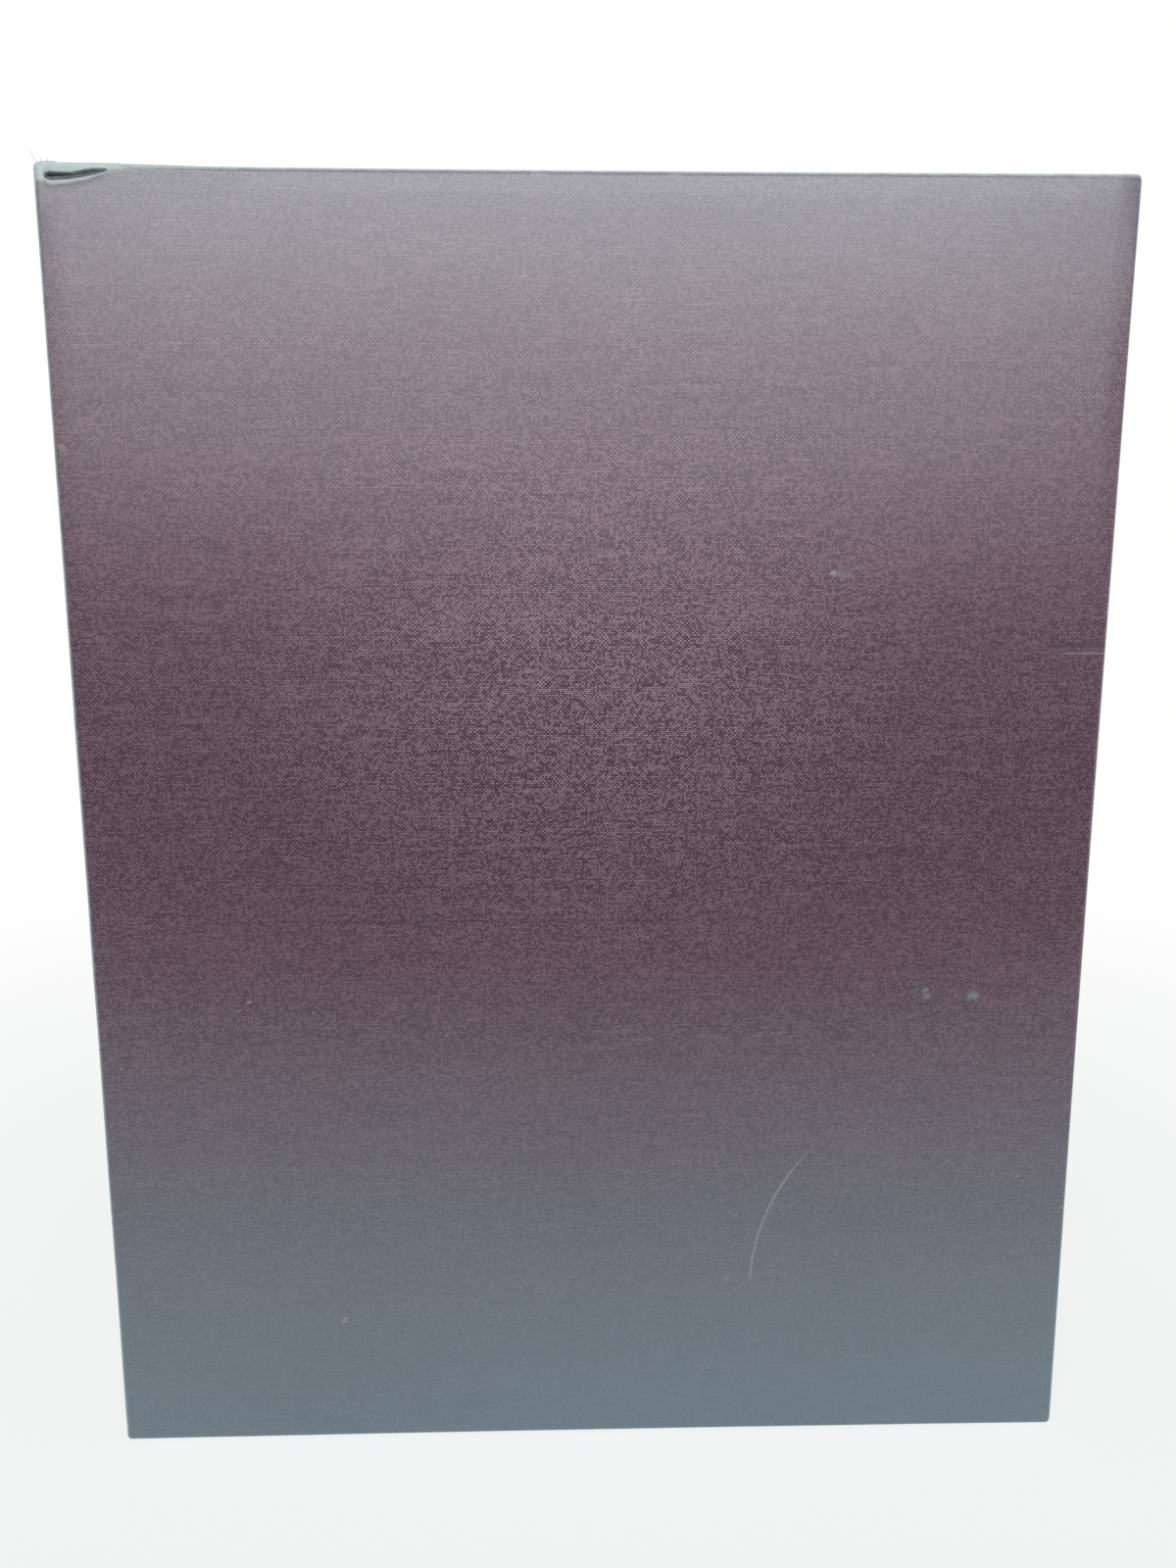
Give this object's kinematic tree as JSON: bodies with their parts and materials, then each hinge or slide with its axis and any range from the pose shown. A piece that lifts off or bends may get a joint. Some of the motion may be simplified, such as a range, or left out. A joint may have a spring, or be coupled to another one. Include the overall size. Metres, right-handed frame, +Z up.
{
  "type": "book slipcase",
  "caption": "Upright cloth-covered slipcase for a large flat book, open along one side, with folded cloth at head and tail and a paper-lined cavity.",
  "frame": {"origin": "middle of the base, under the closed box", "axes": "+Z up from tail to head, +X from the closed edge to the mouth, -Y out of the front face"},
  "size_m": [0.245, 0.045, 0.3134],
  "materials": {
    "board": "matt grey binder's board",
    "lining_paper": "matt uncoated lining paper",
    "book_cloth": "plain-weave book cloth, slightly sheeny, worn at the edges"
  },
  "bodies": {
    "root": {"front_board": "board", "rear_board": "board", "closed_edge_board": "board", "head_board": "board", "tail_board": "board", "front_lining": "lining_paper", "rear_lining": "lining_paper", "closed_edge_lining": "lining_paper", "head_lining": "lining_paper", "tail_lining": "lining_paper", "cover_cloth": "book_cloth"}
  },
  "joints": []
}
